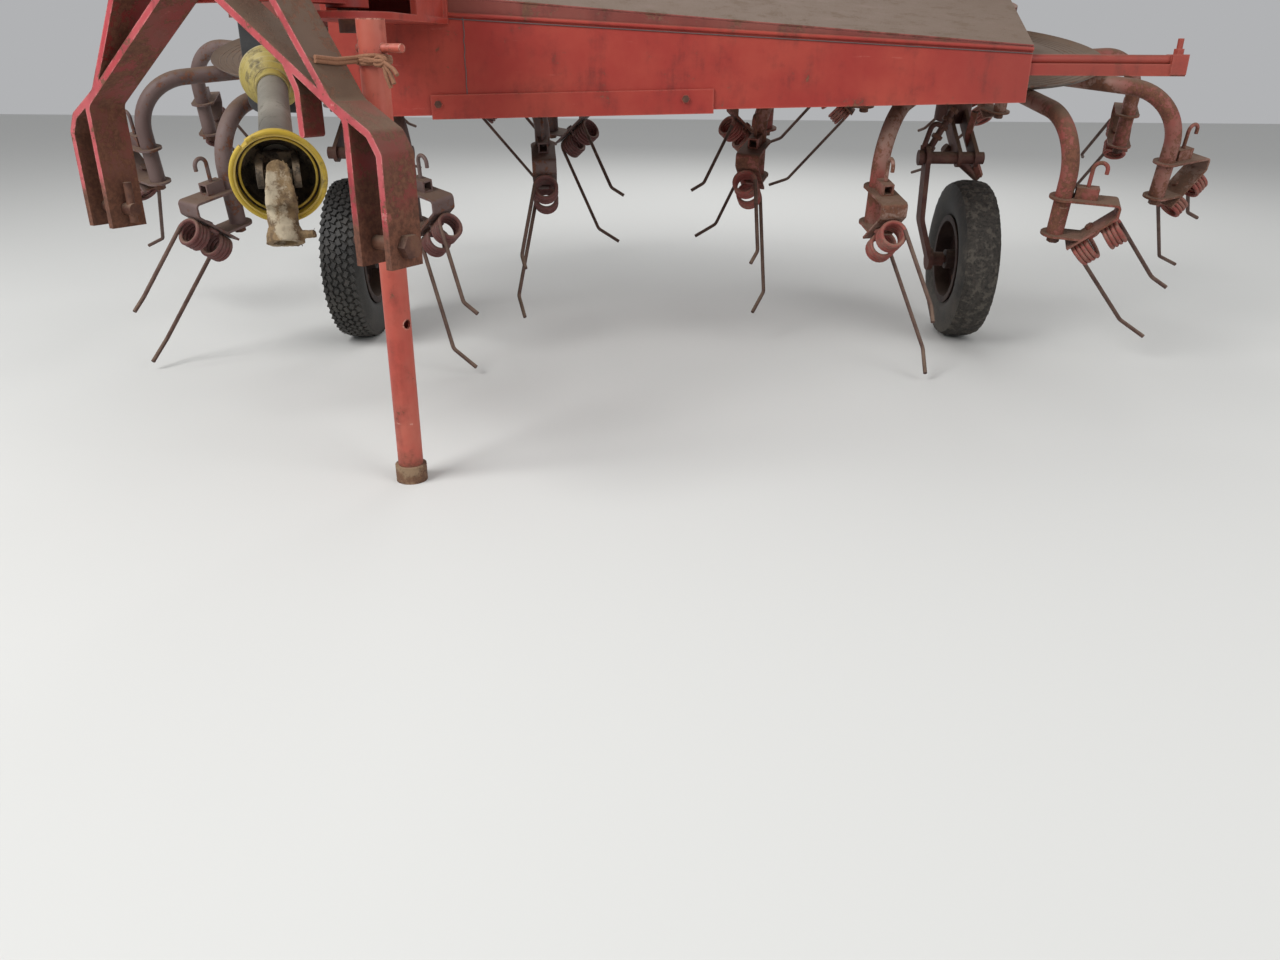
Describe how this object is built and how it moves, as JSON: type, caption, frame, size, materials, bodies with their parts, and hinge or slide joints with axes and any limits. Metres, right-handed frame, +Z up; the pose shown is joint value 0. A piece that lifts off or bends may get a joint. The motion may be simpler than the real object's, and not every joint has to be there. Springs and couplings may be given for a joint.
{
  "type": "hay tedder",
  "caption": "Mounted hay tedder with paired tined rotors under a deck, swivel three-point headstock, guarded drive shaft, small wheels and a parking jack.",
  "frame": {"origin": "on the floor under the middle of the machine's outline", "axes": "+X to the right as seen from the tractor, along the line of the rotors; +Y to the rear, away from the hitch; +Z up"},
  "size_m": [2.9701, 2.1248, 1.05],
  "materials": {
    "red_paint": "old gloss paint, chalky and rusted at the edges",
    "deck_paint": "old paint under brown dust",
    "orange_paint": "old paint worn to the metal",
    "dish_steel": "dusty dark paint",
    "iron": "dusty, greasy casting",
    "rusty_steel": "brown rust",
    "spring_steel": "rust over red paint",
    "yoke_steel": "dry grease and dust",
    "tyre": "worn and dusty",
    "yellow_guard": "faded and scuffed",
    "grey_guard": "dull",
    "black_sheet": "matt"
  },
  "bodies": {
    "frame": {"front_skirt": "red_paint", "deck_panel": "deck_paint", "skirt_angle": "red_paint", "end_rail": "red_paint", "cross_beam": "iron", "frame_rails": "red_paint", "gearbox_a": "iron", "gearbox_b": "iron", "front_bracket": "red_paint", "pivot_pin": "rusty_steel", "wheel_leg_a": "rusty_steel", "wheel_leg_b": "rusty_steel", "guard_tube": "grey_guard", "guard_bell_front": "yellow_guard", "guard_cone_rear": "yellow_guard", "inner_shaft": "yoke_steel", "front_cross": "iron", "front_yoke": "yoke_steel", "rear_cross": "iron", "input_shaft": "iron", "input_shield": "black_sheet"},
    "headstock": {"swivel_head": "red_paint", "hitch_side_left": "red_paint", "hitch_side_right": "red_paint", "hitch_pin_left": "rusty_steel", "hitch_pin_right": "rusty_steel", "top_link_pin": "rusty_steel", "jack_sleeve": "red_paint"},
    "jack": {"jack_leg": "orange_paint"},
    "rotor_a": {"rotor_dish_a": "dish_steel", "rotor_arms_a": "red_paint", "tine_carriers_a": "red_paint", "spring_tines_a": "spring_steel"},
    "rotor_b": {"rotor_dish_b": "dish_steel", "rotor_arms_b": "red_paint", "tine_carriers_b": "red_paint", "spring_tines_b": "spring_steel"},
    "wheel_a": {"tyre_a": "tyre", "rim_a": "rusty_steel"},
    "wheel_b": {"tyre_b": "tyre", "rim_b": "rusty_steel"}
  },
  "joints": [
    {"name": "rotor_a_spin", "type": "hinge", "parent": "frame", "child": "rotor_a", "pos_m": [-0.793, 0.333, 0.474], "axis": [0, -0.2147, 0.9767], "continuous": true},
    {"name": "rotor_b_spin", "type": "hinge", "parent": "frame", "child": "rotor_b", "pos_m": [0.793, 0.333, 0.474], "axis": [0, -0.2147, 0.9767], "continuous": true},
    {"name": "wheel_a_spin", "type": "hinge", "parent": "frame", "child": "wheel_a", "pos_m": [-0.755, 0.047, 0.2], "axis": [1, 0, 0], "continuous": true},
    {"name": "wheel_b_spin", "type": "hinge", "parent": "frame", "child": "wheel_b", "pos_m": [0.809, 0.125, 0.2], "axis": [1, 0, 0], "continuous": true},
    {"name": "headstock_swivel", "type": "hinge", "parent": "frame", "child": "headstock", "pos_m": [-0.536, -0.593, 0.8], "axis": [0, 0, 1], "range_deg": [0, 60]},
    {"name": "jack_slide", "type": "slide", "parent": "headstock", "child": "jack", "axis": [0, 0, 1], "range_m": [0, 0.35]}
  ],
  "couplings": [
    {"joint": "rotor_b_spin", "follows": "rotor_a_spin", "ratio": -1}
  ]
}
